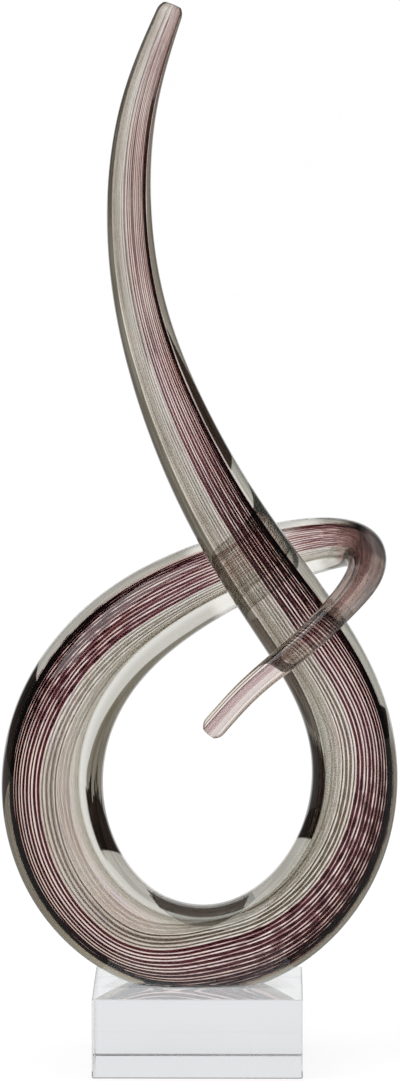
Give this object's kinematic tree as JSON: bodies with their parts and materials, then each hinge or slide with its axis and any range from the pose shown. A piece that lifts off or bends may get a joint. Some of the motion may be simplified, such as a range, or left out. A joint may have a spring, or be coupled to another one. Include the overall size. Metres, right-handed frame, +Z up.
{
  "type": "glass sculpture",
  "caption": "Tapered cased-glass rod bent into a knotted ring, glued upright on a clear square glass block as a free-standing ornament.",
  "frame": {"origin": "middle of the block's underside, on the surface that the sculpture stands on", "axes": "+Z up, +X to the right of a viewer in front, +Y away from that viewer"},
  "size_m": [0.1325, 0.07, 0.3564],
  "materials": {
    "clear_glass": "fire-polished and flame-smooth clear glass",
    "block_glass": "cut and polished clear optical glass",
    "cured_glue": "clear cured adhesive",
    "amethyst_glass": "clear cane round a thread of dark amethyst glass",
    "smoke_glass": "clear cane round a thread of smoke-grey glass"
  },
  "bodies": {
    "root": {"clear_block": "block_glass", "glue_film": "cured_glue", "clear_casing": "clear_glass", "clear_core": "clear_glass", "amethyst_cane_01": "amethyst_glass", "amethyst_cane_02": "amethyst_glass", "amethyst_cane_03": "amethyst_glass", "amethyst_cane_04": "amethyst_glass", "amethyst_cane_05": "amethyst_glass", "amethyst_cane_06": "amethyst_glass", "amethyst_cane_07": "amethyst_glass", "amethyst_cane_08": "amethyst_glass", "amethyst_cane_09": "amethyst_glass", "amethyst_cane_10": "amethyst_glass", "amethyst_cane_25": "amethyst_glass", "amethyst_cane_26": "amethyst_glass", "amethyst_cane_27": "amethyst_glass", "amethyst_cane_28": "amethyst_glass", "amethyst_cane_29": "amethyst_glass", "amethyst_cane_30": "amethyst_glass", "amethyst_cane_31": "amethyst_glass", "amethyst_cane_32": "amethyst_glass", "amethyst_cane_33": "amethyst_glass", "amethyst_cane_34": "amethyst_glass", "smoke_cane_11": "smoke_glass", "smoke_cane_12": "smoke_glass", "smoke_cane_13": "smoke_glass", "smoke_cane_14": "smoke_glass", "smoke_cane_15": "smoke_glass", "smoke_cane_16": "smoke_glass", "smoke_cane_17": "smoke_glass", "smoke_cane_18": "smoke_glass", "smoke_cane_19": "smoke_glass", "smoke_cane_20": "smoke_glass", "smoke_cane_21": "smoke_glass", "smoke_cane_22": "smoke_glass", "smoke_cane_23": "smoke_glass", "smoke_cane_24": "smoke_glass"}
  },
  "joints": []
}
